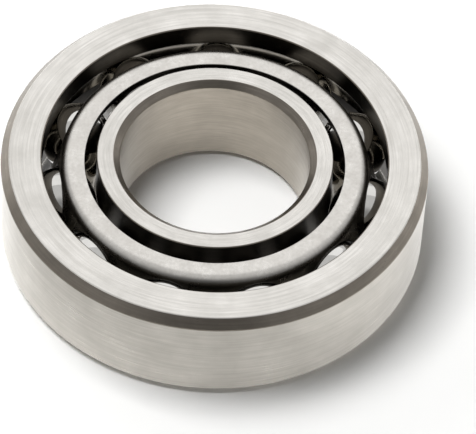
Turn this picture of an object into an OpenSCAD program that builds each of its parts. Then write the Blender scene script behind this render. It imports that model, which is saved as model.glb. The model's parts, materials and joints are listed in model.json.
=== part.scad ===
// Single row angular contact ball bearing with a pressed steel window cage.
//
// +Z is the bearing's axis. It points out of the face where the outer ring has its high
// shoulder and the inner ring its low one, so the bearing carries thrust that pushes the
// inner ring towards +Z. The origin is on the axis, half way across the width.
// Units are millimetres. A section point is [radius, height].

/* [Boundary sizes] */
// Diameter of the bore, which sits on the shaft
bore_d = 40; // [34:1:48]
// Diameter over the outer ring, which sits in the housing
outside_d = 90; // [82:1:108]
// Width over both rings
width = 23; // [21:1:28]

/* [Corners] */
// How far the bore's corners are cut back along the inner ring's faces
bore_corner_radial = 1.3; // [0.5:0.1:1.8]
// How far the bore's corners are cut back along the axis
bore_corner_axial = 1.2; // [0.5:0.1:2.5]
// How far the outside corners are cut back along the outer ring's faces
rim_corner_radial = 1.8; // [0.5:0.1:2.4]
// How far the outer ring's corner by the high shoulder is cut back along the axis
rim_corner_axial = 2; // [0.8:0.1:3]
// How far the outer ring's corner by the low shoulder is cut back along the axis
rim_corner_axial_low = 1.6; // [0.8:0.1:3]
// Small break on the edges between the shoulders and the faces
edge_break = 0.2; // [0.1:0.1:0.6]

/* [Balls] */
// Diameter of a ball
ball_d = 15.081; // [12.5:0.001:15.9]
// Number of balls
ball_count = 11; // [6:1:11]
// Angle between the contact line and the plane of the balls
contact_angle = 40; // [25:1:42]

/* [Raceways] */
// Radius of the inner ring's groove, as a share of the ball's diameter
inner_osculation = 0.52; // [0.51:0.005:0.53]
// Radius of the outer ring's groove, as a share of the ball's diameter
outer_osculation = 0.525; // [0.51:0.005:0.54]
// Clearance between a ball and each groove where they would touch
race_clearance = 0.05; // [0.02:0.01:0.1]
// Height of the inner ring's high shoulder above the bottom of its groove
inner_shoulder_h = 4.8; // [3:0.1:5.8]
// Height of the outer ring's high shoulder above the bottom of its groove
outer_shoulder_h = 3.75; // [3:0.05:5]
// Height of the lip that keeps the balls in, on each ring's low side
lip_h = 0.2; // [0.1:0.05:0.4]
// How much each low side falls away from its lip to its face
lip_relief = 0.2; // [0.1:0.1:0.8]

/* [Cage] */
// Thickness of the cage's sheet
sheet = 1.5; // [1:0.1:1.8]
// Radius of the bend between the flange and the wall, at the middle of the sheet
bend_r = 1.8; // [1.2:0.1:2.4]
// Angle between the cage's wall and the bearing's axis
wall_taper = 16; // [12:1:20]
// How far outside the circle of the balls the wall's middle passes
wall_offset = 1.6; // [1:0.1:2.2]
// Gap between the inner ring's low side and the flange's edge
flange_gap = 2.5; // [1.5:0.1:3]
// Depth of the flange below the bearing's face
flange_depth = 1.8; // [1:0.1:2.2]
// Depth of the wall's wide end below the other face
rim_depth = 1.8; // [1:0.1:3]
// Clearance between a ball and its window
pocket_clearance = 0.2; // [0.1:0.05:0.4]

/* [Hidden] */
$fn = 96;

function ball_name(i) = str("ball_", i < 10 ? "0" : "", i);

bore_r = bore_d / 2;
outside_r = outside_d / 2;
half_w = width / 2;
ball_r = ball_d / 2;

// The balls run half way between the bore and the outside.
pitch_r = (bore_r + outside_r) / 2;
pitch_step = 360 / ball_count;
first_ball_angle = 90;

// Along the contact line each groove's centre lies past the ball's centre, on the side away
// from where they touch, so that the groove clears the ball by race_clearance.
contact_dir = [cos(contact_angle), sin(contact_angle)];
inner_groove_r = inner_osculation * ball_d;
outer_groove_r = outer_osculation * ball_d;
inner_groove_c = [pitch_r, 0] + (inner_groove_r - ball_r - race_clearance) * contact_dir;
outer_groove_c = [pitch_r, 0] - (outer_groove_r - ball_r - race_clearance) * contact_dir;

inner_floor_r = inner_groove_c[0] - inner_groove_r;
outer_floor_r = outer_groove_c[0] + outer_groove_r;
inner_shoulder_r = inner_floor_r + inner_shoulder_h;
outer_shoulder_r = outer_floor_r - outer_shoulder_h;
inner_lip_r = inner_floor_r + lip_h;
outer_lip_r = outer_floor_r - lip_h;

// The middle of the cage's sheet: a flat flange, a bend, and a wall that widens downwards.
flange_z = half_w - flange_depth - sheet / 2;
flange_inner_r = inner_lip_r - lip_relief + flange_gap;
rim_z = rim_depth - half_w;
bend_turn = 90 - wall_taper;
function wall_r(z) = pitch_r + wall_offset - z * tan(wall_taper);
bend_c = [wall_r(flange_z) - bend_r * tan(bend_turn / 2), flange_z - bend_r];
bend_steps = 8;

function arc(c, r, from, to, steps) =
    [for (i = [0:steps]) let (a = from + (to - from) * i / steps) c + r * [cos(a), sin(a)]];

// Where the wall's face, side * sheet / 2 from its middle, has the height z
function wall_face(side, z) = [wall_r(z) + side * sheet / 2 / cos(wall_taper), z];

module outer_ring() {
    color([0.82, 0.81, 0.80])
    rotate_extrude()
    difference() {
        polygon([
            [outside_r, rim_corner_axial_low - half_w],
            [outside_r, half_w - rim_corner_axial],
            [outside_r - rim_corner_radial, half_w],
            [outer_shoulder_r + edge_break, half_w],
            [outer_shoulder_r, half_w - edge_break],
            [outer_shoulder_r, outer_groove_c[1]],
            [outer_lip_r, outer_groove_c[1]],
            [outer_lip_r + lip_relief, -half_w],
            [outside_r - rim_corner_radial, -half_w]
        ]);
        translate(outer_groove_c)
        circle(r = outer_groove_r);
    }
}

module inner_ring() {
    color([0.84, 0.83, 0.82])
    rotate_extrude()
    difference() {
        polygon([
            [bore_r, bore_corner_axial - half_w],
            [bore_r + bore_corner_radial, -half_w],
            [inner_shoulder_r - edge_break, -half_w],
            [inner_shoulder_r, edge_break - half_w],
            [inner_shoulder_r, inner_groove_c[1]],
            [inner_lip_r, inner_groove_c[1]],
            [inner_lip_r - lip_relief, half_w - edge_break],
            [inner_lip_r - lip_relief - edge_break, half_w],
            [bore_r + bore_corner_radial, half_w],
            [bore_r, half_w - bore_corner_axial]
        ]);
        translate(inner_groove_c)
        circle(r = inner_groove_r);
    }
}

// The section of the cage's sheet before its windows are cut
module cage_section() {
    polygon(concat(
        [[flange_inner_r, flange_z + sheet / 2]],
        arc(bend_c, bend_r + sheet / 2, 90, wall_taper, bend_steps),
        [wall_face(1, rim_z), wall_face(-1, rim_z)],
        arc(bend_c, bend_r - sheet / 2, wall_taper, 90, bend_steps),
        [[flange_inner_r, flange_z - sheet / 2]]
    ));
}

module cage() {
    color([0.70, 0.70, 0.69])
    difference() {
        rotate_extrude()
        cage_section();
        for (i = [1:ball_count])
            at_ball(i)
            sphere(r = ball_r + pocket_clearance);
    }
}

module at_ball(i) {
    rotate([0, 0, first_ball_angle + (i - 1) * pitch_step])
    translate([pitch_r, 0, 0])
    children();
}

module ball(i) {
    color([0.88, 0.88, 0.88])
    at_ball(i)
    sphere(r = ball_r);
}

outer_ring();
inner_ring();
cage();
for (i = [1:ball_count])
    ball(i);
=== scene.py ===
# %% [markdown]
# # An angular contact ball bearing
#
# This bearing has four kinds of piece: an outer ring, an inner ring, a row of balls, and a
# cage of pressed sheet steel that keeps the balls apart. Both rings are turned and ground,
# so each is a flat outline swept once round the axis. Their pieces, joints and sizes are
# already settled in the frame that is loaded here. This script adds what the eye wants:
# rounded edges, a true pressed cage, and finishes that tell ground steel from lapped steel.

import json
import math

import bmesh
import bpy
from mathutils import Matrix, Vector


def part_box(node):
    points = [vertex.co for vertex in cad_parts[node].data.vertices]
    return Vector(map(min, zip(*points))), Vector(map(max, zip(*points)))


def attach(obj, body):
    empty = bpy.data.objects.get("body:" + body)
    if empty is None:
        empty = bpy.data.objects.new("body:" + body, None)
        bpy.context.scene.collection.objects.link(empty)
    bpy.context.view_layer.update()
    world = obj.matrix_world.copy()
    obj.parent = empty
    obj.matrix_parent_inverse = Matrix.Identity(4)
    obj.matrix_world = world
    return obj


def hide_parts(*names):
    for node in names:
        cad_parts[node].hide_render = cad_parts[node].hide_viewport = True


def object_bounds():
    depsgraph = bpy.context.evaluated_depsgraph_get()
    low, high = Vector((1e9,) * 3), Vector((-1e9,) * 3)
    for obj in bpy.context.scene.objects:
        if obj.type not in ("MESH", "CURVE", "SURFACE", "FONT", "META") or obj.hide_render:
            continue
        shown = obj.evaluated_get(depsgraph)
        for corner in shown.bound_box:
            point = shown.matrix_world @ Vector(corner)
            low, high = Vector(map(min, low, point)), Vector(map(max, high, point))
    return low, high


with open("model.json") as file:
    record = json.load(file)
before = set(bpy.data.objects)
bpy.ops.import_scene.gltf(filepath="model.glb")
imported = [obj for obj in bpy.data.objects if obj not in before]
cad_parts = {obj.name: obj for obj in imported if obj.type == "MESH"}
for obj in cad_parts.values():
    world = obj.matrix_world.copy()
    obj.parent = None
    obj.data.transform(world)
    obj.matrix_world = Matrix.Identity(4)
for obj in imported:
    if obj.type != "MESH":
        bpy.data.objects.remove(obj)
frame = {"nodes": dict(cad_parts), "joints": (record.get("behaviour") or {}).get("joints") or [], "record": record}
cad_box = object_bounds()

# %% [markdown]
# ## Sizes
#
# Every size that the frame knows is read from it: the boundary sizes from the mounts, the
# balls' places and the contact angle from their joints. What is left are the sizes of the
# rings' and the cage's sections, given in millimetres as a drawing would give them. Blender
# works in metres, so a size is multiplied by MM where it reaches a mesh or a node.

# %% Sizes that the frame knows
MM = 0.001
mounts = {m["name"]: m for m in frame["record"]["mounts"]}
joints = {j["name"]: j for j in frame["joints"]}
ball_nodes = sorted(n for n in frame["nodes"] if n.startswith("ball_"))
first_ball = joints[ball_nodes[0] + "_spin"]
ball_low, ball_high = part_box(ball_nodes[0])

BORE_R = mounts["shaft_bore"]["dims"]["r_mm"]
OUTSIDE_R = mounts["housing_seat"]["dims"]["r_mm"]
HALF_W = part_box("outer_ring")[1].z / MM
BALL_R = (ball_high.z - ball_low.z) / 2 / MM
PITCH_R = math.hypot(*first_ball["pos_m"][:2]) / MM
FIRST_ANGLE = math.atan2(first_ball["pos_m"][1], first_ball["pos_m"][0])
CONTACT_ANGLE = math.acos(first_ball["axis"][2])
BALLS = len(ball_nodes)
print(f"{BALLS} balls of {2 * BALL_R:.3f} mm on a circle of {2 * PITCH_R:.1f} mm")
print(f"bore {2 * BORE_R:.0f} mm, outside {2 * OUTSIDE_R:.0f} mm, width {2 * HALF_W:.0f} mm")

# %% Sizes of the rings' sections, in millimetres
BORE_CORNER_RADIAL = 1.3
BORE_CORNER_AXIAL = 1.2
RIM_CORNER_RADIAL = 1.8
RIM_CORNER_AXIAL = 2.0
RIM_CORNER_AXIAL_LOW = 1.6
EDGE_BREAK = 0.2
RACE_CLEARANCE = 0.05
INNER_GROOVE_R = 0.52 * 2 * BALL_R
OUTER_GROOVE_R = 0.525 * 2 * BALL_R
INNER_SHOULDER_H = 4.8
OUTER_SHOULDER_H = 3.75
LIP_H = 0.2
LIP_RELIEF = 0.2

# %% Sizes of the cage's sheet, in millimetres
SHEET = 1.5
BEND_R = 1.8
WALL_TAPER = math.radians(16)
WALL_OFFSET = 1.6
FLANGE_GAP = 2.5
FLANGE_DEPTH = 1.8
RIM_DEPTH = 1.8
POCKET_CLEARANCE = 0.2
FLANGE_TOP = HALF_W - FLANGE_DEPTH

# %% [markdown]
# ## Helpers
#
# Shaders and Geometry Nodes are both trees, so one small function serves both. It adds a
# node, sets its properties, and fills its inputs with either a value or a link. Two more
# save repeating what every step needs: a colour and an object.


# %% Add a node
def add(tree, kind, inputs=None, **settings):
    """A new node of this kind, its settings set, and its inputs filled with values or links."""
    node = tree.nodes.new(kind)
    for name, value in settings.items():
        setattr(node, name, value)
    for key, value in (inputs or {}).items():
        if isinstance(value, bpy.types.NodeSocket):
            tree.links.new(value, node.inputs[key])
        else:
            node.inputs[key].default_value = value
    return node


# %% Colours as a painter writes them
def colour(code):
    """A linear colour from an sRGB hex code such as 8f8b84."""
    shares = [int(code[i : i + 2], 16) / 255 for i in (0, 2, 4)]
    linear = [c / 12.92 if c <= 0.04045 else ((c + 0.055) / 1.055) ** 2.4 for c in shares]
    return linear + [1.0]


# %% An object in the scene
def new_object(name, data):
    """An object that holds this data, linked into the scene at the origin."""
    item = bpy.data.objects.new(name, data)
    bpy.context.scene.collection.objects.link(item)
    return item


# %% [markdown]
# ## Marks in the steel
#
# A lathe or a grinding wheel leaves lines that run round the axis. A texture painted flat
# would have to be bent into a ring and would show a seam. Instead the lines come from noise
# that is squeezed: it changes quickly with the radius and the height and slowly with the
# angle. Sheet steel and balls have no direction, and for them the same noise is left even.

# %% Lines round the axis
NOISE_DETAIL = {"Detail": 3.0, "Roughness": 0.6}
# How many times a line fades into its neighbour on its way round one radian
LINES_PER_RADIAN = 3


def lathe_lines(tree, place, spacing_mm, seed):
    """Noise in thin lines that run round the axis, spacing_mm apart along the surface."""
    spacing = spacing_mm * MM
    xyz = add(tree, "ShaderNodeSeparateXYZ", {0: place}).outputs
    flat = add(tree, "ShaderNodeCombineXYZ", {0: xyz["X"], 1: xyz["Y"]}).outputs[0]
    radius = add(tree, "ShaderNodeVectorMath", {0: flat}, operation="LENGTH").outputs["Value"]
    facing = add(tree, "ShaderNodeVectorMath", {0: flat}, operation="NORMALIZE").outputs[0]
    # The cosine and sine of the angle close on themselves, so the lines have no seam.
    slow = add(
        tree,
        "ShaderNodeVectorMath",
        {0: facing, "Scale": spacing * LINES_PER_RADIAN},
        operation="SCALE",
    ).outputs[0]
    turn = add(tree, "ShaderNodeSeparateXYZ", {0: slow}).outputs
    lines = add(tree, "ShaderNodeCombineXYZ", {0: radius, 1: xyz["Z"], 2: turn["X"]}).outputs[0]
    depth = add(tree, "ShaderNodeMath", {0: turn["Y"], 1: seed * spacing}, operation="ADD")
    return add(
        tree,
        "ShaderNodeTexNoise",
        {"Vector": lines, "W": depth.outputs[0], "Scale": 1 / spacing, **NOISE_DETAIL},
        noise_dimensions="4D",
    ).outputs[0]


# %% Grain that runs no way
def even_grain(tree, place, spacing_mm, seed):
    """Noise with no direction, spacing_mm from one grain to the next."""
    return add(
        tree,
        "ShaderNodeTexNoise",
        {"Vector": place, "W": seed, "Scale": 1 / (spacing_mm * MM), **NOISE_DETAIL},
        noise_dimensions="4D",
    ).outputs[0]


# %% [markdown]
# ## Finishes
#
# Bearing steel is one alloy all through, and the way each surface was made sets them apart;
# some tints are also darkened as painted shade where a surface lies in the gaps between parts.
# So there is one function for a steel, and a row of settings for each surface. In the
# shader a steel is a Metallic surface whose tint and roughness drift together: where the
# marks are dense it is both darker and duller. A shallow bump of the same marks breaks up
# the highlights. The index of refraction stays at its default, as metal has no use for it.


# %% A tint that darkens with depth, as painted shade
def painted_shade_below(tree, place, tint, top_mm, bottom_mm, share):
    """The tint, which falls to this share of itself between two heights: painted shade."""
    height = add(tree, "ShaderNodeSeparateXYZ", {0: place}).outputs["Z"]
    kept = add(
        tree,
        "ShaderNodeMapRange",
        {"Value": height, "From Min": bottom_mm * MM, "From Max": top_mm * MM, "To Min": share},
        interpolation_type="SMOOTHSTEP",
    ).outputs["Result"]
    return add(tree, "ShaderNodeVectorMath", {0: tint, "Scale": kept}, operation="SCALE").outputs[0]


# %% A steel from its surface
CLOUD_SHARE = 0.5
DARKEST, LIGHTEST = 0.55, 0.95


def metal(
    name, light, dark, rough, spacing_mm, depth_mm, cloud_mm, seed, marks=lathe_lines, skin=None
):
    """A steel between two tints, with marks of a spacing and depth, in clouds of a size.

    The skin argument, a (top, bottom, share), darkens it between two heights in millimetres: painted shade.
    """
    material = bpy.data.materials.new(name)
    material.use_nodes = True
    tree = material.node_tree
    tree.nodes.clear()
    place = add(tree, "ShaderNodeTexCoord").outputs["Object"]
    cloud = even_grain(tree, place, cloud_mm, seed + 0.5)
    height = marks(tree, place, spacing_mm, seed)
    mixed = add(
        tree, "ShaderNodeMath", {0: cloud, 1: height, 2: CLOUD_SHARE}, operation="MULTIPLY_ADD"
    ).outputs[0]
    share = add(
        tree, "ShaderNodeMapRange", {"Value": mixed, "From Min": DARKEST, "From Max": LIGHTEST}
    ).outputs["Result"]
    tint = add(
        tree,
        "ShaderNodeMix",
        {"Factor": share, 6: colour(dark), 7: colour(light)},
        data_type="RGBA",
    ).outputs[2]
    # Painted shade: the tint falls to a share of itself between two heights.
    if skin:
        tint = painted_shade_below(tree, place, tint, *skin)
    gloss = add(
        tree, "ShaderNodeMapRange", {"Value": share, "To Min": rough[1], "To Max": rough[0]}
    ).outputs["Result"]
    bump = add(
        tree, "ShaderNodeBump", {"Height": height, "Distance": depth_mm * MM, "Strength": 1.0}
    ).outputs[0]
    shader = add(
        tree,
        "ShaderNodeBsdfPrincipled",
        {"Base Color": tint, "Roughness": gloss, "Normal": bump, "Metallic": 1.0},
    )
    add(tree, "ShaderNodeOutputMaterial", {"Surface": shader.outputs[0]})
    return material


# %% The finishes of the rings
# Each row: name, light and dark tint, roughness where light and where dark, spacing and depth
# of the marks, size of the clouds, seed. Real grinding lines lie a few hundredths of a
# millimetre apart, too fine to show, so they are drawn as coarse as they need to be seen.
RING_STEELS = {
    # Ground as the ring rolls between two wheels: silky grey, with fine lines all round.
    "seat": ("ground_seat_steel", "bfbbb4", "9f9b94", (0.26, 0.36), 0.35, 0.0015, 9, 1.0),
    # Ground flat between two discs: the brightest and smoothest of the outer surfaces.
    "face": ("ground_face_steel", "f0ede8", "c9c6c0", (0.18, 0.27), 0.45, 0.0015, 7, 2.0),
    # Turned before the ring was hardened and never ground: a plain, darker grey.
    "corner": ("turned_corner_steel", "8b847b", "6f6961", (0.26, 0.34), 0.3, 0.002, 5, 3.0),
    # Ground from within by a small wheel: a little duller and browner than the outside.
    # Its tint is also darkened as painted shade for the inside of the bore.
    "bore": ("ground_bore_steel", "989186", "7e786f", (0.28, 0.38), 0.35, 0.0015, 9, 1.7),
    # Turned, then hardened where oil and scale reach it: dark grey with coarser lines.
    # Part of that darkness is painted shade, for the gap between the rings.
    "shoulder": ("turned_shoulder_steel", "6a645b", "4c4740", (0.26, 0.36), 0.3, 0.003, 6, 4.0),
    # Nearly black and dull: painted shade for the lands beside the lips, down in the gap.
    "skin": ("painted_gap_shade_steel", "4b463f", "35312c", (0.3, 0.42), 0.3, 0.003, 6, 4.5),
    # Honed with a fine stone: it mirrors the balls, with hardly a line to be seen.
    # Its tint is kept darker than the faces' as painted shade for the gap between the rings.
    "race": ("honed_raceway_steel", "8d877c", "736d63", (0.12, 0.2), 0.5, 0.0004, 12, 5.0),
}
FINISHES = {surface: metal(*row) for surface, row in RING_STEELS.items()}
print("ring finishes:", ", ".join(m.name for m in FINISHES.values()))

# %% The finish of the balls
# Lapped between iron plates until no mark is left: a mirror with only the faintest cloud.
# Its own marks are far too fine to show, so the grain is drawn about 2 mm wide and very flat.
BALL_STEEL = metal(
    "lapped_ball_steel", "e4e3e0", "d2d0cc", (0.05, 0.1), 2.0, 0.0001, 8, 6.0, marks=even_grain
)
print("ball finish:", BALL_STEEL.name)

# %% The finish of the cage
# Mild steel, pressed and then tumbled with small stones, whose overlapping dents make a grain
# of about 0.7 mm. They rub the flange to a bright satin. Below the flange the tint darkens
# with depth as painted shade, for the shade that falls down between the balls.
SHADE_START = 0.1
SHADE_FULL = 0.8
SHADE_SHARE = 0.32
CAGE_STEEL = metal(
    "tumbled_sheet_steel",
    "ebe8e3",
    "cdc9c3",
    (0.24, 0.34),
    0.7,
    0.0012,
    3,
    7.0,
    marks=even_grain,
    # Painted shade: the sheet darkens with depth below the flange, down between the balls.
    skin=(FLANGE_TOP - SHADE_START, FLANGE_TOP - SHADE_FULL, SHADE_SHARE),
)
print("cage finish:", CAGE_STEEL.name)

# %% [markdown]
# ## A section with rounded corners
#
# A ring's section is drawn as a short list of corners, each with the radius that a finger
# would feel there. Real edges are never perfectly sharp, and it is the small bright line
# along them that makes metal look like metal. A Bevel modifier could round them on the
# finished ring, but it would round every edge alike. A function that turns each corner of
# the section into an arc gives each its own radius. A second one puts a point close to each
# end of a long straight run, so that smooth shading bends only at the edge.

# %% Turn corners into arcs
ARC_STEP = math.radians(9)
LEAST_TURN = math.radians(4)
SIDE_SHARE = 0.45


def arc(centre, radius, start, end, step=ARC_STEP):
    """Points on an arc between two angles, ends included."""
    count = max(2, math.ceil(abs(end - start) / step))
    angles = [start + (end - start) * i / count for i in range(count + 1)]
    return [(centre[0] + radius * math.cos(a), centre[1] + radius * math.sin(a)) for a in angles]


def fillet(before, corner, after, radius):
    """The points of an arc that rounds a corner, as large as its two sides let it be."""
    here, back, ahead = Vector(corner), Vector(before), Vector(after)
    u, v = (back - here).normalized(), (ahead - here).normalized()
    turn = math.pi - u.angle(v)
    if radius == 0 or turn < LEAST_TURN:
        return [tuple(here)]
    room = SIDE_SHARE * min((back - here).length, (ahead - here).length)
    reach = min(radius * math.tan(turn / 2), room)
    radius = reach / math.tan(turn / 2)
    centre = here + (u + v).normalized() * math.hypot(reach, radius)
    first, last = here + u * reach - centre, here + v * reach - centre
    start = math.atan2(first.y, first.x)
    sweep = (math.atan2(last.y, last.x) - start + math.pi) % (2 * math.pi) - math.pi
    return arc(centre, radius, start, start + sweep)


# %% Hold the ends of straight runs
HOLD = 0.1
LONG_RUN = 5 * HOLD


def hold_straights(points, finishes):
    """The closed outline with a point added close to each end of every long run."""
    held, kept = [], []
    for i, p in enumerate(points):
        q = points[(i + 1) % len(points)]
        gap = math.dist(p, q)
        shares = (0, HOLD / gap, 1 - HOLD / gap) if gap > LONG_RUN else (0,)
        for share in shares:
            held.append((p[0] + (q[0] - p[0]) * share, p[1] + (q[1] - p[1]) * share))
            kept.append(finishes[i])
    return held, kept


# %% A closed section from its corners
def section(corners):
    """The points and finishes of a closed outline.

    A corner is its radius, its height, its rounding, and the finish of what follows it.
    """
    points, finishes = [], []
    for i, (x, z, rounding, finish) in enumerate(corners):
        before, after = corners[i - 1][:2], corners[(i + 1) % len(corners)][:2]
        for p in fillet(before, (x, z), after, rounding):
            points.append(p)
            finishes.append(finish)
    return hold_straights(points, finishes)


# %% [markdown]
# ## Grooves
#
# In this kind of bearing the balls touch the rings along a slanted line. Each groove's
# centre lies on that line, a little past the ball's centre, and its radius is a little
# larger than the ball's. One side of each groove runs up into a high shoulder, which takes
# the thrust. The other side has only a lip, which the balls snap over in assembly. Where a
# groove meets its shoulder could be worked out by hand, and halving finds it in one line.

# %% Find a crossing by halving
HALVINGS = 40


def last_inside(inside, high):
    """The last value from 0 to high for which inside(value) holds."""
    low = 0.0
    for _ in range(HALVINGS):
        middle = (low + high) / 2
        if inside(middle):
            low = middle
        else:
            high = middle
    return low


# %% Where a straight line leaves a groove
def leaves(centre, radius, within, beyond):
    """The angle, from a groove's centre, at which the line from within to beyond crosses it."""
    a, b, c = Vector(within), Vector(beyond), Vector(centre)
    share = last_inside(lambda s: (a.lerp(b, s) - c).length < radius, 1.0)
    p = a.lerp(b, share) - c
    return math.atan2(p.y, p.x)


# %% Groove centres and shoulders
slant = Vector((math.cos(CONTACT_ANGLE), math.sin(CONTACT_ANGLE)))
ball_centre = Vector((PITCH_R, 0))
inner_groove = ball_centre + (INNER_GROOVE_R - BALL_R - RACE_CLEARANCE) * slant
outer_groove = ball_centre - (OUTER_GROOVE_R - BALL_R - RACE_CLEARANCE) * slant
inner_floor = inner_groove.x - INNER_GROOVE_R
outer_floor = outer_groove.x + OUTER_GROOVE_R
inner_shoulder = inner_floor + INNER_SHOULDER_H
outer_shoulder = outer_floor - OUTER_SHOULDER_H
inner_lip = inner_floor + LIP_H
outer_lip = outer_floor - LIP_H
print(f"grooves run at {inner_floor:.2f} and {outer_floor:.2f} mm from the axis")


# %% The groove as corners of a section
GROOVE_STEP = math.radians(2.5)
GROOVE_EDGE = 0.25


def groove_corners(centre, radius, start, end, land):
    """A groove's arc as corners, with its two ends rounded, and the finish of the land after it."""
    points = arc(centre, radius, start, end, GROOVE_STEP)
    last = len(points) - 1
    rounding = [GROOVE_EDGE if i in (0, last) else 0 for i in range(last + 1)]
    finish = ["race"] * last + [land]
    return [(x, z, r, f) for (x, z), r, f in zip(points, rounding, finish)]


# %% The outer ring's section
# The corner at the foot of the seat is ground over with it, so it is as light as the seat.
outer_face = outer_lip + LIP_RELIEF
outer_high = leaves(
    outer_groove, OUTER_GROOVE_R, (outer_shoulder, outer_groove.y), (outer_shoulder, HALF_W)
)
outer_low = leaves(
    outer_groove, OUTER_GROOVE_R, (outer_lip, outer_groove.y), (outer_face, -HALF_W)
)
outer_section = section(
    [
        (OUTSIDE_R, RIM_CORNER_AXIAL_LOW - HALF_W, 0.5, "seat"),
        (OUTSIDE_R, HALF_W - RIM_CORNER_AXIAL, 0.5, "corner"),
        (OUTSIDE_R - RIM_CORNER_RADIAL, HALF_W, 0.4, "face"),
        (outer_shoulder + EDGE_BREAK, HALF_W, 0.15, "corner"),
        (outer_shoulder, HALF_W - EDGE_BREAK, 0.15, "shoulder"),
    ]
    # The land after the outer groove takes the nearly black painted-shade finish.
    + groove_corners(outer_groove, OUTER_GROOVE_R, outer_high, outer_low, "skin")
    + [
        (outer_face, -HALF_W, 0.25, "face"),
        (OUTSIDE_R - RIM_CORNER_RADIAL, -HALF_W, 0.4, "seat"),
    ]
)
print(f"outer ring's section: {len(outer_section[0])} points")

# %% The inner ring's section
inner_face = inner_lip - LIP_RELIEF
inner_high = leaves(
    inner_groove, INNER_GROOVE_R, (inner_shoulder, inner_groove.y), (inner_shoulder, -HALF_W)
)
inner_low = leaves(
    inner_groove, INNER_GROOVE_R, (inner_lip, inner_groove.y), (inner_face, HALF_W)
)
inner_arc = (inner_high % math.tau, inner_low % math.tau)
inner_section = section(
    [
        (BORE_R, HALF_W - BORE_CORNER_AXIAL, 0.3, "bore"),
        (BORE_R, BORE_CORNER_AXIAL - HALF_W, 0.3, "corner"),
        (BORE_R + BORE_CORNER_RADIAL, -HALF_W, 0.3, "face"),
        (inner_shoulder - EDGE_BREAK, -HALF_W, 0.15, "corner"),
        (inner_shoulder, EDGE_BREAK - HALF_W, 0.15, "shoulder"),
    ]
    # The land after the inner groove takes the nearly black painted-shade finish.
    + groove_corners(inner_groove, INNER_GROOVE_R, *inner_arc, "skin")
    + [
        (inner_face, HALF_W - EDGE_BREAK, 0.15, "corner"),
        (inner_face - EDGE_BREAK, HALF_W, 0.15, "face"),
        (BORE_R + BORE_CORNER_RADIAL, HALF_W, 0.3, "corner"),
    ]
)
print(f"inner ring's section: {len(inner_section[0])} points")

# %% [markdown]
# ## A tree that turns a ring
#
# A ring could be made with the Screw modifier or by spinning edges in mesh code. Geometry
# Nodes say the same thing as a rule: this outline, swept along a circle. The outline is a
# wire mesh that becomes a curve, and Curve to Mesh carries it round. Each point of the
# outline also carries its own number as an attribute, which the sweep hands on to the mesh.
# By those numbers each face later knows which surface of the ring it belongs to.


# %% Start and end a tree
def new_tree(name, inputs):
    """A Geometry Nodes tree with named inputs, its sockets' identifiers by name, and its inputs."""
    tree = bpy.data.node_groups.new(name, "GeometryNodeTree")
    tree.interface.new_socket("Geometry", in_out="INPUT", socket_type="NodeSocketGeometry")
    ids = {}
    for label, kind in inputs.items():
        socket = tree.interface.new_socket(label, in_out="INPUT", socket_type="NodeSocket" + kind)
        ids[label] = socket.identifier
    tree.interface.new_socket("Geometry", in_out="OUTPUT", socket_type="NodeSocketGeometry")
    return tree, ids, add(tree, "NodeGroupInput").outputs


def close_tree(tree, geometry, material):
    """Ends a tree with Realize Instances and Set Material."""
    smooth = add(tree, "GeometryNodeSetShadeSmooth", {0: geometry}).outputs[0]
    real = add(tree, "GeometryNodeRealizeInstances", {0: smooth}).outputs[0]
    painted = add(tree, "GeometryNodeSetMaterial", {"Geometry": real, "Material": material})
    add(tree, "NodeGroupOutput", {0: painted.outputs[0]})


# %% Weld a mesh and turn its faces outwards
RING_WELD = 0.0005


def weld(mesh):
    """Merges points that lie together, then makes every face point outwards."""
    shape = bmesh.new()
    shape.from_mesh(mesh)
    bmesh.ops.remove_doubles(shape, verts=shape.verts, dist=RING_WELD * MM)
    bmesh.ops.recalc_face_normals(shape, faces=shape.faces)
    shape.to_mesh(mesh)
    shape.free()


# %% Run a tree
def run_tree(name, start, tree, ids, values):
    """A plain mesh object, made by running a tree on a starting mesh."""
    holder = new_object(name + "_start", start)
    modifier = holder.modifiers.new("tree", "NODES")
    modifier.node_group = tree
    for label, value in values.items():
        modifier[ids[label]] = value
    bpy.context.view_layer.update()
    seen = holder.evaluated_get(bpy.context.evaluated_depsgraph_get())
    mesh = bpy.data.meshes.new_from_object(seen)
    holder.modifiers.remove(modifier)
    bpy.data.objects.remove(holder)
    mesh.name = name
    weld(mesh)
    print(f"{name}: {len(mesh.polygons)} faces")
    return new_object(name, mesh)


# %% The ring tree
ring_tree, ring_ids, given = new_tree(
    "turned_ring", {"Path radius": "Float", "Steps round": "Int", "Material": "Material"}
)
path = add(
    ring_tree,
    "GeometryNodeCurvePrimitiveCircle",
    {"Resolution": given["Steps round"], "Radius": given["Path radius"]},
).outputs[0]
upright = add(ring_tree, "GeometryNodeSetCurveNormal", {0: path}, mode="Z_UP").outputs[0]
outline = add(ring_tree, "GeometryNodeMeshToCurve", {0: given["Geometry"]}).outputs[0]
swept = add(
    ring_tree, "GeometryNodeCurveToMesh", {"Curve": upright, "Profile Curve": outline}
).outputs[0]
close_tree(ring_tree, swept, given["Material"])
print(f"{ring_tree.name}: {len(ring_tree.nodes)} nodes")


# %% The wire that is swept
def section_wire(name, outline_points):
    """A closed wire mesh of a section, whose points carry their numbers in order."""
    wire = bpy.data.meshes.new(name)
    count = len(outline_points)
    # Curve to Mesh lays a section's X outwards from its path and its Y downwards.
    places = [((x - PITCH_R) * MM, -z * MM, 0) for x, z in outline_points]
    wire.from_pydata(places, [(i, (i + 1) % count) for i in range(count)], [])
    wire.attributes.new("step", "INT", "POINT").data.foreach_set("value", range(count))
    return wire


# %% Turn a ring and give each surface its finish
RING_STEPS = 320


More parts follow.
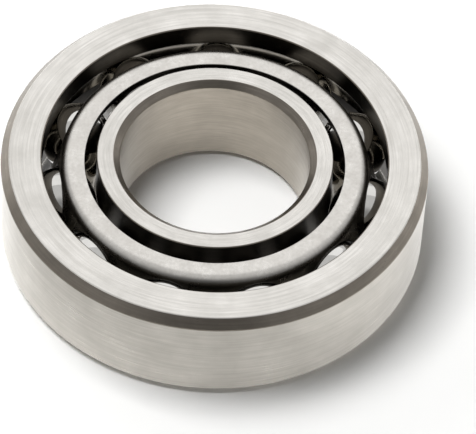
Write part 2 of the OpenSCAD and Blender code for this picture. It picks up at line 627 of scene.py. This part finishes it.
def turned_ring(name, outline_points, finishes):
    """A ring swept from its section, with a material slot for each finish."""
    wire = section_wire(name + "_section", outline_points)
    used = sorted(set(finishes))
    values = {
        "Path radius": PITCH_R * MM,
        "Steps round": RING_STEPS,
        "Material": FINISHES[used[0]],
    }
    piece = run_tree(name, wire, ring_tree, ring_ids, values)
    mesh = piece.data
    mesh.materials.clear()
    for finish in used:
        mesh.materials.append(FINISHES[finish])
    steps = [d.value for d in mesh.attributes["step"].data]
    for face in mesh.polygons:
        low, high = min(steps[v] for v in face.vertices), max(steps[v] for v in face.vertices)
        # A face lies between two neighbours, and only the last face joins the last to the first.
        side = low if high - low == 1 else high
        face.material_index = used.index(finishes[side])
    mesh.attributes.remove(mesh.attributes["step"])
    return piece


outer_ring = turned_ring("ground_outer_ring", *outer_section)
inner_ring = turned_ring("ground_inner_ring", *inner_section)

# %% [markdown]
# ## Balls
#
# A ball is a ball, but a UV sphere would show a pinch at each pole in a mirror finish, and an
# icosphere has none. The tree lays a ring of points, keeps the one that is asked for, and
# puts a ball there, so each ball becomes a mesh of its own on its own body.

# %% The tree for the row of balls
BALL_SUBDIVISIONS = 6
ball_tree, ball_ids, given = new_tree(
    "row_of_balls",
    {
        "Ball radius": "Float",
        "Path radius": "Float",
        "Balls": "Int",
        "First angle": "Float",
        "Which ball": "Int",
        "Material": "Material",
    },
)
circle = add(
    ball_tree,
    "GeometryNodeMeshCircle",
    {"Vertices": given["Balls"], "Radius": given["Path radius"]},
).outputs[0]
turn = add(ball_tree, "ShaderNodeCombineXYZ", {2: given["First angle"]}).outputs[0]
placed = add(
    ball_tree, "GeometryNodeTransform", {"Geometry": circle, "Rotation": turn}
).outputs[0]
number = add(ball_tree, "GeometryNodeInputIndex").outputs[0]
chosen = add(
    ball_tree,
    "FunctionNodeCompare",
    {2: number, 3: given["Which ball"]},
    data_type="INT",
    operation="EQUAL",
).outputs[0]
ball = add(
    ball_tree,
    "GeometryNodeMeshIcoSphere",
    {"Radius": given["Ball radius"], "Subdivisions": BALL_SUBDIVISIONS},
).outputs[0]
balls = add(
    ball_tree,
    "GeometryNodeInstanceOnPoints",
    {"Points": placed, "Selection": chosen, "Instance": ball},
).outputs[0]
close_tree(ball_tree, balls, given["Material"])
print(f"{ball_tree.name}: {len(ball_tree.nodes)} nodes")

# %% One mesh for each ball
ball_pieces = {}
for place, node in enumerate(ball_nodes):
    empty_mesh = bpy.data.meshes.new(node + "_start")
    values = {
        "Ball radius": BALL_R * MM,
        "Path radius": PITCH_R * MM,
        "Balls": BALLS,
        "First angle": FIRST_ANGLE,
        "Which ball": place,
        "Material": BALL_STEEL,
    }
    ball_pieces[node] = run_tree("lapped_" + node, empty_mesh, ball_tree, ball_ids, values)

# %% [markdown]
# ## The cage's sheet
#
# The real cage starts as a flat disc of sheet. A press draws it into a cone with a flat
# flange, then punches a window for each ball. This one is made as sheet too: a middle
# surface, given its thickness along its own normals. A place on the sheet is given by two
# lengths, along it from the flange's edge down to the rim and across it round the axis, just
# as a pattern maker would draw it flat.

# %% The middle of the sheet
flange_z = HALF_W - FLANGE_DEPTH - SHEET / 2
flange_r = inner_face + FLANGE_GAP
wall_turn = math.pi / 2 - WALL_TAPER
wall_x = PITCH_R + WALL_OFFSET - flange_z * math.tan(WALL_TAPER)
bend_x = wall_x - BEND_R * math.tan(wall_turn / 2)
bend_z = flange_z - BEND_R
flange_run = bend_x - flange_r
bend_run = BEND_R * wall_turn
wall_top = (bend_x + BEND_R * math.cos(WALL_TAPER), bend_z + BEND_R * math.sin(WALL_TAPER))
rim_z = RIM_DEPTH - HALF_W + SHEET / 2 * math.sin(WALL_TAPER)
wall_run = (wall_top[1] - rim_z) / math.cos(WALL_TAPER)
sheet_run = flange_run + bend_run + wall_run
print(f"sheet from flange edge to rim: {sheet_run:.2f} mm")


# %% A place on the sheet
def sheet_at(along):
    """Radius and height of the sheet's middle, and of its normal, this far from its edge."""
    if along <= flange_run:
        return flange_r + along, flange_z, 0.0, 1.0
    if along <= flange_run + bend_run:
        a = math.pi / 2 - (along - flange_run) / BEND_R
        c, s = math.cos(a), math.sin(a)
        return bend_x + BEND_R * c, bend_z + BEND_R * s, c, s
    down = along - flange_run - bend_run
    c, s = math.cos(WALL_TAPER), math.sin(WALL_TAPER)
    return wall_top[0] + down * s, wall_top[1] - down * c, c, s


def on_sheet(across, along, lift=0.0):
    """The point this far across from the pocket's middle, lifted off the sheet's middle."""
    x, z, nx, nz = sheet_at(along)
    x, z = x + nx * lift, z + nz * lift
    a = across / PITCH_R
    return Vector((x * math.cos(a), x * math.sin(a), z))


# %% [markdown]
# ## The cage's windows
#
# Each window is the hole that a ball, a little oversize, would punch through the sheet.
# Cutting it with a Boolean would leave ragged faces round the hole. Here the faces of one
# pocket are laid in rings: the innermost follows the window's edge, and the
# outermost the edge of a block that is easy to tile. Flat strips fill in above and below.
# The first few rings lie close together and curve over, which rounds the punched edge.

# %% The window and its block
RAYS = 96
BLOCK_ABOVE_WALL = 0.9
window_r = BALL_R + POCKET_CLEARANCE
wall_gap = WALL_OFFSET * math.cos(WALL_TAPER)
window_down = (wall_top[1] - wall_gap * math.sin(WALL_TAPER)) / math.cos(WALL_TAPER)
window_along = flange_run + bend_run + window_down
half_pocket = math.pi / BALLS * PITCH_R
block_top = flange_run + bend_run - BLOCK_ABOVE_WALL
block_end = window_along + (window_along - block_top)
print(f"window {2 * window_r:.2f} mm across, {window_along:.2f} mm from the flange's edge")


def window_reach(across, along):
    """How far from the window's middle its edge lies, in the direction (across, along)."""
    centre = Vector((PITCH_R, 0, 0))
    beyond = 1.5 * BALL_R

    def inside(distance):
        p = on_sheet(distance * across, window_along + distance * along)
        return (p - centre).length < window_r

    return last_inside(inside, beyond)


# %% The edge of the block
def block_edge():
    """Points round the edge of the window's block in order, and how many lie along its top."""
    width, height = 2 * half_pocket, block_end - block_top
    per_side = [round(RAYS / 2 * side / (width + height)) for side in (width, height)]
    corners = [
        (-half_pocket, block_top),
        (half_pocket, block_top),
        (half_pocket, block_end),
        (-half_pocket, block_end),
    ]
    points = []
    for i, (x, y) in enumerate(corners):
        nx, ny = corners[(i + 1) % 4]
        count = per_side[i % 2]
        points += [(x + (nx - x) * k / count, y + (ny - y) * k / count) for k in range(count)]
    return points, per_side[0]


edge_points, columns = block_edge()
print(f"{len(edge_points)} faces round a window")

# %% The rounded edge of the sheet
SHEET_EDGE = 0.2
EDGE_SHARES = [1 - math.cos(math.radians(a)) for a in (0, 22.5, 45, 67.5, 90)]
EDGE_ROWS = [SHEET_EDGE * s for s in EDGE_SHARES] + [SHEET_EDGE + HOLD]
WALL_SHARES = (0, 0.15, 0.85, 1)


def lift_at(inset):
    """How far each face of the sheet lies from its middle, this far in from a free edge."""
    short = max(0.0, SHEET_EDGE - inset)
    return SHEET / 2 - SHEET_EDGE + math.sqrt(SHEET_EDGE**2 - short**2)


# %% Faces between rows of points
def add_patch(faces, rows, closed=False):
    """Adds the quads between rows of points to a list of faces."""
    for upper, lower in zip(rows, rows[1:]):
        count = len(upper)
        for i in range(count if closed else count - 1):
            j = (i + 1) % count
            faces.append([upper[i], upper[j], lower[j], lower[i]])


# %% Rings of points round the window
WEB_ROWS = 7


def window_rows(side):
    """Rows of points from the window's edge out to the block's edge, on one face of the sheet."""
    rays = []
    for x, y in edge_points:
        far = Vector((x, y - window_along))
        way = far.normalized()
        rays.append((way, window_reach(*way), far.length))
    spots = [[(way, reach + inset, inset) for way, reach, _ in rays] for inset in EDGE_ROWS]
    start = EDGE_ROWS[-1]
    for k in range(1, WEB_ROWS + 1):
        share = k / WEB_ROWS
        spots.append(
            [(way, (reach + start) * (1 - share) + far * share, start) for way, reach, far in rays]
        )
    return [
        [on_sheet(way.x * r, window_along + way.y * r, side * lift_at(h)) for way, r, h in row]
        for row in spots
    ]


# %% Strips above and below the block
STRIP_STEP = 0.4


def strip_rows(side, free_end, block_side):
    """Rows of points between a free edge of the sheet and the block, on one face of the sheet."""
    across = [half_pocket * (2 * i / columns - 1) for i in range(columns + 1)]
    toward = 1 if block_side > free_end else -1
    start = EDGE_ROWS[-1]
    rest = abs(block_side - free_end) - start
    steps = math.ceil(rest / STRIP_STEP)
    insets = EDGE_ROWS + [start + rest * k / steps for k in range(1, steps + 1)]
    return [[on_sheet(a, free_end + toward * h, side * lift_at(h)) for a in across] for h in insets]


# %% Every face of one pocket
def pocket_faces():
    """The two faces of one pocket's share of the sheet, and the edges that join them."""
    faces = []
    windows, flanges, rims = [], [], []
    for side in (1, -1):
        rows = window_rows(side)
        top = strip_rows(side, 0.0, block_top)
        end = strip_rows(side, sheet_run, block_end)
        add_patch(faces, rows, closed=True)
        add_patch(faces, top)
        add_patch(faces, end)
        windows.append(rows[0])
        flanges.append(top[0])
        rims.append(end[0])
    for pair, closed in ((windows, True), (flanges, False), (rims, False)):
        wall = [[a.lerp(b, s) for a, b in zip(*pair)] for s in WALL_SHARES]
        add_patch(faces, wall, closed)
    return faces


# %% One pocket as a mesh
def mesh_of(name, faces):
    """A mesh of separate quads, in metres. Their shared corners are welded later."""
    points = [p * MM for face in faces for p in face]
    quads = [tuple(range(i, i + 4)) for i in range(0, len(points), 4)]
    mesh = bpy.data.meshes.new(name)
    mesh.from_pydata(points, [], quads)
    return mesh


pocket = mesh_of("cage_pocket", pocket_faces())
print(f"one pocket: {len(pocket.polygons)} faces")

# %% [markdown]
# ## Pockets round the axis
#
# An Array modifier with an empty to turn it would repeat the pocket, but Geometry Nodes need
# no second object: a point for each pocket, a copy of the pocket on each point, turned by
# the point's number. The copies are then made real, and the seams between them are welded.

# %% The tree that repeats a pocket
cage_tree, cage_ids, given = new_tree(
    "pockets_round_the_axis",
    {"Pockets": "Int", "First angle": "Float", "Weld distance": "Float", "Material": "Material"},
)
spots = add(cage_tree, "GeometryNodePoints", {"Count": given["Pockets"]}).outputs[0]
number = add(cage_tree, "GeometryNodeInputIndex").outputs[0]
step = add(
    cage_tree, "ShaderNodeMath", {0: math.tau, 1: given["Pockets"]}, operation="DIVIDE"
).outputs[0]
angle = add(
    cage_tree,
    "ShaderNodeMath",
    {0: number, 1: step, 2: given["First angle"]},
    operation="MULTIPLY_ADD",
).outputs[0]
turned = add(cage_tree, "ShaderNodeCombineXYZ", {2: angle}).outputs[0]
copies = add(
    cage_tree,
    "GeometryNodeInstanceOnPoints",
    {"Points": spots, "Instance": given["Geometry"], "Rotation": turned},
).outputs[0]
joined = add(cage_tree, "GeometryNodeRealizeInstances", {0: copies}).outputs[0]
welded = add(
    cage_tree,
    "GeometryNodeMergeByDistance",
    {"Geometry": joined, "Distance": given["Weld distance"]},
).outputs[0]
close_tree(cage_tree, welded, given["Material"])
print(f"{cage_tree.name}: {len(cage_tree.nodes)} nodes")

# %% Make the cage
SEAM_WELD = 0.001
cage_values = {
    "Pockets": BALLS,
    "First angle": FIRST_ANGLE,
    "Weld distance": SEAM_WELD * MM,
    "Material": CAGE_STEEL,
}
cage = run_tree("pressed_cage", pocket, cage_tree, cage_ids, cage_values)

# %% [markdown]
# ## Each piece on its body
#
# A finished piece stands in for the plain solid of the same name and moves with its body.
# Parenting or constraints could carry the pieces, but the frame already knows how every body
# moves, so a piece only has to say which body it rides on.

# %% Ride and replace
finished = {"outer_ring": outer_ring, "inner_ring": inner_ring, "cage": cage, **ball_pieces}
for node, piece in finished.items():
    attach(piece, node)
    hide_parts(node)
print(f"{len(finished)} pieces placed")

# %% [markdown]
# ## The paper
#
# The bearing lies on a round sheet of white paper whose edge curves up, so that the paper
# fills the view from any side and gives the steel something pale to reflect. A flat plane
# would end in a hard horizon. The sheet is turned from its profile in mesh code, as on a
# potter's wheel. It lies a hair below the rings, so that no two faces share a plane.

# %% The paper's profile
PAPER_RINGS = (0.05, 0.1, 0.2, 0.4, 0.8)
PAPER_FLAT = 1.4
PAPER_CURVE = 0.8
PAPER_CURVE_END = -math.pi / 9
PAPER_BELOW = 0.02
floor_z = cad_box[0].z - PAPER_BELOW * MM
curve = arc((PAPER_FLAT, floor_z + PAPER_CURVE), PAPER_CURVE, -math.pi / 2, PAPER_CURVE_END)
paper_profile = [(r, floor_z) for r in PAPER_RINGS] + curve
paper_r, paper_top = paper_profile[-1]
print(f"paper {2 * paper_r:.1f} m across, its edge {paper_top - floor_z:.2f} m up")

# %% Turn the paper
PAPER_STEPS = 96
floor_points = [(0, 0, floor_z)]
for r, z in paper_profile:
    for k in range(PAPER_STEPS):
        a = math.tau * k / PAPER_STEPS
        floor_points.append((r * math.cos(a), r * math.sin(a), z))
floor_faces = [(0, 1 + k, 1 + (k + 1) % PAPER_STEPS) for k in range(PAPER_STEPS)]
for ring in range(len(paper_profile) - 1):
    inner = 1 + ring * PAPER_STEPS
    outer = inner + PAPER_STEPS
    for k in range(PAPER_STEPS):
        j = (k + 1) % PAPER_STEPS
        floor_faces.append((inner + k, outer + k, outer + j, inner + j))
floor_mesh = bpy.data.meshes.new("paper_floor")
floor_mesh.from_pydata(floor_points, [], floor_faces)
floor_mesh.polygons.foreach_set("use_smooth", [True] * len(floor_faces))
floor = new_object("paper_floor", floor_mesh)
print(f"paper: {len(floor_faces)} faces")

# %% [markdown]
# ## The paper's finish
#
# Paper under plain lamps never looks quite white, and stronger lamps would bleach the steel.
# So the paper also glows a little, and only for some rays. The camera sees a glow that
# starts at the edge of the bearing's shadow and grows outwards, which leaves the shadow as
# it falls. The steel sees another glow, brighter towards the lamps behind the bearing and
# to its right than in front: that is what gives a ground surface its slow change of tone.
# Diffuse rays see no glow at all, so it lights nothing.


# %% Tell rays apart
def ray_kinds(tree):
    """Two switches: 1 for rays from the camera, and 1 for rays that metal or glass throws."""
    rays = add(tree, "ShaderNodeLightPath").outputs
    thrown = add(
        tree,
        "ShaderNodeMath",
        {0: rays["Is Glossy Ray"], 1: rays["Is Transmission Ray"]},
        operation="MAXIMUM",
    ).outputs[0]
    return rays["Is Camera Ray"], thrown


# %% The paper's tree
paper = bpy.data.materials.new("white_paper")
paper.use_nodes = True
tree = paper.node_tree
tree.nodes.clear()
from_camera, thrown = ray_kinds(tree)
place = add(tree, "ShaderNodeTexCoord").outputs["Object"]
distance = add(tree, "ShaderNodeVectorMath", {0: place}, operation="LENGTH").outputs["Value"]

# %% The glow that the camera sees
# Distances are in metres. The shadow falls to the right of the bearing and in front of it.
SHADOW_CENTRE = Vector((0.02, -0.015, -HALF_W * MM))
SHADOW_REACH = 0.042
WHITE_REACH = 0.32
WHITE_GLOW = 0.75
from_shadow = add(
    tree, "ShaderNodeVectorMath", {0: place, 1: SHADOW_CENTRE}, operation="DISTANCE"
).outputs["Value"]
white = add(
    tree,
    "ShaderNodeMapRange",
    {
        "Value": from_shadow,
        "From Min": SHADOW_REACH,
        "From Max": WHITE_REACH,
        "To Min": 0.0,
        "To Max": WHITE_GLOW,
    },
).outputs["Result"]
straight = add(
    tree, "ShaderNodeMath", {0: from_camera, 1: white}, operation="MULTIPLY"
).outputs[0]

# %% The glow that the steel sees
BRIGHT_WAY = Vector((0.45, 1.0, 0.0))
DIM_AT, BRIGHT_AT = -0.06, -0.01
DIM_GLOW, BRIGHT_GLOW = 0.03, 0.58
toward = add(
    tree, "ShaderNodeVectorMath", {0: place, 1: BRIGHT_WAY}, operation="DOT_PRODUCT"
).outputs["Value"]
slope = add(
    tree,
    "ShaderNodeMapRange",
    {
        "Value": toward,
        "From Min": DIM_AT,
        "From Max": BRIGHT_AT,
        "To Min": DIM_GLOW,
        "To Max": BRIGHT_GLOW,
    },
    interpolation_type="SMOOTHSTEP",
).outputs["Result"]

# %% A little more glow at the foot of the ring
# Without it the foot of the outer ring mirrors its own shadow and seems to have a dark hem.
FOOT_INNER, FOOT_OUTER, FOOT_END = 0.03, 0.045, 0.055
FOOT_GLOW = 0.35
outside = add(
    tree, "ShaderNodeMapRange", {"Value": distance, "From Min": FOOT_INNER, "From Max": FOOT_OUTER}
).outputs["Result"]
foot = add(
    tree,
    "ShaderNodeMapRange",
    {
        "Value": distance,
        "From Min": FOOT_OUTER,
        "From Max": FOOT_END,
        "To Min": FOOT_GLOW,
        "To Max": 0.0,
    },
).outputs["Result"]
mirrored = add(
    tree, "ShaderNodeMath", {0: outside, 1: foot, 2: slope}, operation="MULTIPLY_ADD"
).outputs[0]

# %% Put the paper together
lift = add(
    tree, "ShaderNodeMath", {0: thrown, 1: mirrored, 2: straight}, operation="MULTIPLY_ADD"
).outputs[0]
glow = add(tree, "ShaderNodeEmission", {"Strength": lift})
matt = add(tree, "ShaderNodeBsdfDiffuse", {"Color": colour("fafaf9")})
both = add(tree, "ShaderNodeAddShader", {0: matt.outputs[0], 1: glow.outputs[0]})
add(tree, "ShaderNodeOutputMaterial", {"Surface": both.outputs[0]})
floor_mesh.materials.append(paper)
print(f"{paper.name}: {len(tree.nodes)} nodes")

# %% [markdown]
# ## Lamps and room
#
# Polished metal has hardly a colour of its own: it shows what stands round it. So there are
# two kinds of light here. The key lamp, high on the left, lights the paper and throws the
# shadow, and the steel doesn't see it, because its hard edge would draw a white patch on
# every flat face. The wide lamp behind is there to be mirrored by the faces. The room does
# the rest: mid grey all round, with a dim round card in front, which the front corner of the
# outer ring mirrors, and which makes that corner read as a dark band.


# %% The lamps
def softbox(name, azimuth, elevation, distance, width, height, watts):
    """A rectangular lamp that looks at the bearing. Azimuth 0 is behind it, and 90 to its left."""
    data = bpy.data.lights.new(name, "AREA")
    data.shape = "RECTANGLE"
    data.size, data.size_y, data.energy = width, height, watts
    lamp = new_object(name, data)
    a, e = math.radians(azimuth), math.radians(elevation)
    away = Vector((-math.sin(a) * math.cos(e), math.cos(a) * math.cos(e), math.sin(e)))
    lamp.location = away * distance
    lamp.rotation_euler = away.to_track_quat("Z", "Y").to_euler()
    lamp.visible_camera = False
    print(f"{name}: {watts} W, {width} by {height} m")
    return lamp


softbox("wide_softbox", azimuth=0, elevation=50, distance=2.0, width=2.4, height=1.5, watts=4.4)
key = softbox(
    "key_softbox", azimuth=70, elevation=71, distance=2.0, width=1.1, height=1.1, watts=40.5
)
key.visible_glossy = False

# %% How bright the room is in each direction
CARD_ELEVATION = math.radians(36)
CARD_EDGE = (math.radians(8), math.radians(38))
CARD_LEVEL = 0.28
ROOM_LEVEL = 0.65
world = bpy.data.worlds.new("dim_studio")
bpy.context.scene.world = world
world.use_nodes = True
tree = world.node_tree
tree.nodes.clear()
way = add(tree, "ShaderNodeTexCoord").outputs["Generated"]
card = Vector((0, -math.cos(CARD_ELEVATION), math.sin(CARD_ELEVATION)))
closeness = add(
    tree, "ShaderNodeVectorMath", {0: way, 1: card}, operation="DOT_PRODUCT"
).outputs["Value"]
level = add(
    tree,
    "ShaderNodeMapRange",
    {
        "Value": closeness,
        "From Min": math.cos(CARD_EDGE[0]),
        "From Max": math.cos(CARD_EDGE[1]),
        "To Min": CARD_LEVEL,
        "To Max": ROOM_LEVEL,
    },
    interpolation_type="SMOOTHSTEP",
).outputs["Result"]

# %% Who sees the room
# The camera and the steel see it as it is. For all other rays it is dim, and fills the shadow.
FILL_LEVEL = 0.08
from_camera, thrown = ray_kinds(tree)
seen = add(tree, "ShaderNodeMath", {0: thrown, 1: from_camera}, operation="MAXIMUM").outputs[0]
dim = add(tree, "ShaderNodeBackground", {"Color": (1, 1, 1, 1), "Strength": FILL_LEVEL})
room = add(tree, "ShaderNodeBackground", {"Color": (1, 1, 1, 1), "Strength": level})
both = add(tree, "ShaderNodeMixShader", {0: seen, 1: dim.outputs[0], 2: room.outputs[0]})
add(tree, "ShaderNodeOutputWorld", {"Surface": both.outputs[0]})
print(f"{world.name}: {CARD_LEVEL} in front to {ROOM_LEVEL} all round, fill {FILL_LEVEL}")

# %% [markdown]
# ## Camera
#
# A long lens from a fair distance shows the bearing nearly without perspective, so that its
# circles are close to true ellipses. The camera could be aimed with a Track To constraint.
# Here it is placed by numbers instead: its azimuth from the front, its elevation, and its
# distance from a point near the upper face, then a small roll, which tips the bearing.

# %% The camera
CAMERA_DISTANCE = 0.80
CAMERA_LENS = 288.2
CAMERA_ELEVATION = 50.4
CAMERA_AZIMUTH = -1.8
CAMERA_ROLL = 3.3
AIM_RIGHT = 0.00478
AIM_UP = -0.01287

camera_data = bpy.data.cameras.new("camera")
camera_data.lens = CAMERA_LENS
camera_data.clip_start, camera_data.clip_end = 0.05, 20
camera = new_object("camera", camera_data)
a, e = math.radians(CAMERA_AZIMUTH), math.radians(CAMERA_ELEVATION)
back = Vector((math.sin(a) * math.cos(e), -math.cos(a) * math.cos(e), math.sin(e)))
roll = Matrix.Rotation(math.radians(CAMERA_ROLL), 3, "Z")
turn = (-back).to_track_quat("-Z", "Y").to_matrix() @ roll
aim = Vector((0, 0, HALF_W * MM)) + turn @ Vector((AIM_RIGHT, AIM_UP, 0))
camera.matrix_world = Matrix.Translation(aim + back * CAMERA_DISTANCE) @ turn.to_4x4()
bpy.context.scene.camera = camera
bpy.context.scene.view_settings.view_transform = "Standard"
print(f"camera {CAMERA_DISTANCE:.2f} m away with a {CAMERA_LENS:.0f} mm lens")
